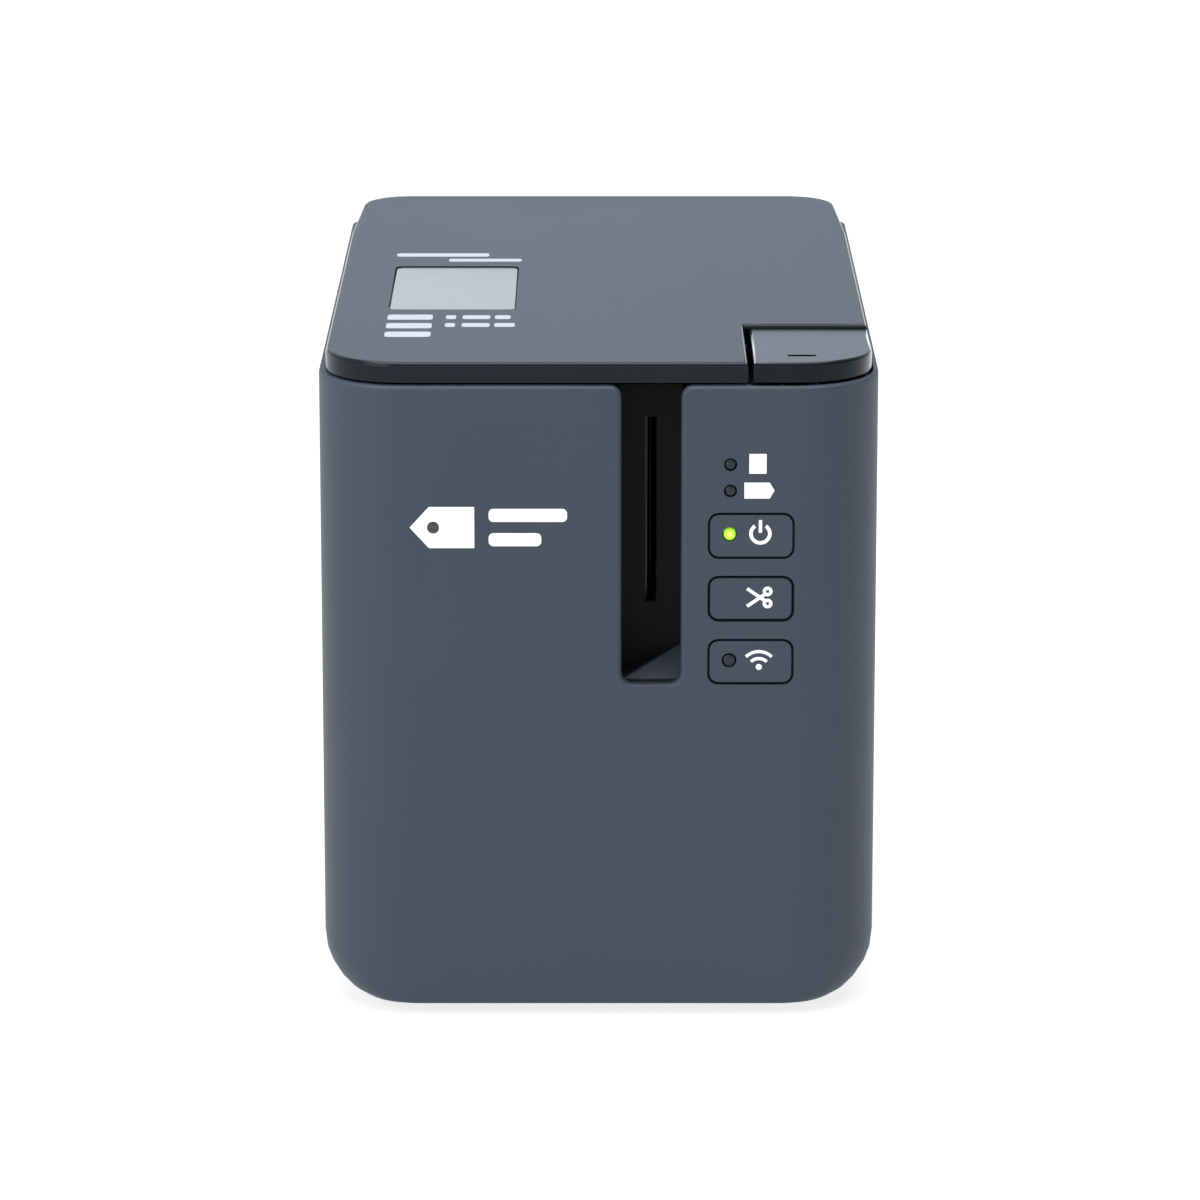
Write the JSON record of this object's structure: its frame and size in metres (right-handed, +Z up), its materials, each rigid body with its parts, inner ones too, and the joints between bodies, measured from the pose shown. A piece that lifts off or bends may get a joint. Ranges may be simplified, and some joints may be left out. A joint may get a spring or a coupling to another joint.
{
  "type": "label maker",
  "caption": "Upright desktop label printer: slate case, hinged glossy cover with release button and window, tall tape exit slot and front keys.",
  "frame": {"origin": "centre of the footprint, on the surface that the four feet rest on", "axes": "+X to the right seen from the front, +Y to the rear, +Z up; the front with the exit slot faces -Y"},
  "size_m": [0.118, 0.192, 0.146],
  "materials": {
    "slate_plastic": "fine textured matte",
    "gloss_black_plastic": "gloss",
    "dark_plastic": "moulded satin",
    "window_plastic": "clear gloss over a light cassette",
    "natural_plastic": "natural acetal",
    "rubber": "matte",
    "steel": "plated",
    "aluminium": "extruded",
    "brass": "machined",
    "circuit_board": "solder resist",
    "head_ceramic": "polished",
    "cassette_plastic": "moulded satin",
    "label_tape": "satin film",
    "led_green": "lit light pipe",
    "led_off": "unlit light pipe"
  },
  "bodies": {
    "case": {"base_plate": "dark_plastic", "battery_led": "led_off", "button_board": "circuit_board", "cassette_bay": "dark_plastic", "cassette_case": "cassette_plastic", "cut_switch": "dark_plastic", "cutter_fixed_blade": "steel", "cutter_frame": "steel", "cutter_motor": "steel", "cutter_pivot_pin": "steel", "exit_guide": "dark_plastic", "feed_gear_axle": "steel", "feed_motor": "steel", "foot_1": "rubber", "foot_2": "rubber", "foot_3": "rubber", "foot_4": "rubber", "frame_screw_1": "steel", "frame_screw_2": "steel", "frame_screw_3": "steel", "frame_screw_4": "steel", "head_heat_sink": "aluminium", "hinge_pin_left": "steel", "hinge_pin_right": "steel", "label_tape": "label_tape", "main_board": "circuit_board", "main_case": "slate_plastic", "mechanism_plate": "steel", "power_jack": "dark_plastic", "power_switch": "dark_plastic", "print_head": "head_ceramic", "rear_panel": "slate_plastic", "release_spring": "steel", "roller_holder": "natural_plastic", "serial_port": "dark_plastic", "status_led": "led_off", "usb_device_port": "steel", "usb_host_port": "steel", "wireless_switch": "dark_plastic"},
    "cover": {"top_cover": "gloss_black_plastic", "cover_liner": "dark_plastic", "window_lens": "window_plastic"},
    "release": {"release_button": "gloss_black_plastic"},
    "latch": {"latch_lever": "natural_plastic"},
    "power_key": {"power_button": "slate_plastic", "power_led": "led_green"},
    "cut_key": {"cut_button": "slate_plastic"},
    "wireless_key": {"wireless_button": "slate_plastic", "wireless_led": "led_off"},
    "feed": {"feed_gear": "natural_plastic"},
    "platen": {"platen_shaft": "steel", "platen_roller": "rubber", "platen_gear": "natural_plastic"},
    "ribbon": {"ribbon_spindle": "natural_plastic", "ribbon_spool": "dark_plastic"},
    "roll": {"tape_roll": "label_tape"},
    "drive_pinion": {"motor_pinion": "brass"},
    "cutter": {"cutter_arm": "natural_plastic", "cutter_moving_blade": "steel"},
    "cutter_drive": {"cutter_pinion": "brass"}
  },
  "joints": [
    {"name": "cover_hinge", "type": "hinge", "parent": "case", "child": "cover", "pos_m": [0, 0.0932, 0.138], "axis": [-1, 0, 0], "range_deg": [0, 85]},
    {"name": "release_press", "type": "slide", "parent": "case", "child": "release", "axis": [0, 0, -1], "range_m": [0, 0.0022], "stiffness_N_per_m": 600, "springref_m": -0.001, "deforming": ["release_spring"]},
    {"name": "latch_turn", "type": "hinge", "parent": "case", "child": "latch", "pos_m": [0.042, -0.066, 0.118], "axis": [1, 0, 0], "range_deg": [0, 14]},
    {"name": "power_press", "type": "slide", "parent": "case", "child": "power_key", "axis": [0, 1, 0], "range_m": [0, 0.0008], "stiffness_N_per_m": 800, "springref_m": -0.0005},
    {"name": "cut_press", "type": "slide", "parent": "case", "child": "cut_key", "axis": [0, 1, 0], "range_m": [0, 0.0008], "stiffness_N_per_m": 800, "springref_m": -0.0005},
    {"name": "wireless_press", "type": "slide", "parent": "case", "child": "wireless_key", "axis": [0, 1, 0], "range_m": [0, 0.0008], "stiffness_N_per_m": 800, "springref_m": -0.0005},
    {"name": "feed_spin", "type": "hinge", "parent": "case", "child": "feed", "pos_m": [-0.00488, -0.02464, 0.074], "axis": [0, 0, 1], "continuous": true},
    {"name": "platen_spin", "type": "hinge", "parent": "case", "child": "platen", "pos_m": [0.0158, -0.042, 0.074], "axis": [0, 0, 1], "continuous": true},
    {"name": "ribbon_spin", "type": "hinge", "parent": "case", "child": "ribbon", "pos_m": [0.00033, 0.0049, 0.074], "axis": [0, 0, 1], "continuous": true},
    {"name": "tape_roll_spin", "type": "hinge", "parent": "case", "child": "roll", "pos_m": [-0.029, -0.011, 0.107], "axis": [0, 0, 1], "continuous": true},
    {"name": "motor_spin", "type": "hinge", "parent": "case", "child": "drive_pinion", "pos_m": [-0.02852, -0.02881, 0.074], "axis": [0, 0, 1], "continuous": true},
    {"name": "cutter_swing", "type": "hinge", "parent": "case", "child": "cutter", "pos_m": [0.013, -0.072, 0.076], "axis": [0, -1, 0], "range_deg": [0, 13]},
    {"name": "cutter_motor_spin", "type": "hinge", "parent": "case", "child": "cutter_drive", "pos_m": [0.013, -0.072, 0.051], "axis": [0, -1, 0], "range_deg": [-52, 0]}
  ],
  "couplings": [
    {"joint": "latch_turn", "follows": "release_press", "rad_per_m": 105},
    {"joint": "platen_spin", "follows": "feed_spin", "ratio": -2},
    {"joint": "motor_spin", "follows": "feed_spin", "ratio": -3},
    {"joint": "ribbon_spin", "follows": "feed_spin", "ratio": -1.5},
    {"joint": "tape_roll_spin", "follows": "feed_spin", "ratio": 0.428},
    {"joint": "cutter_motor_spin", "follows": "cutter_swing", "ratio": -4}
  ]
}
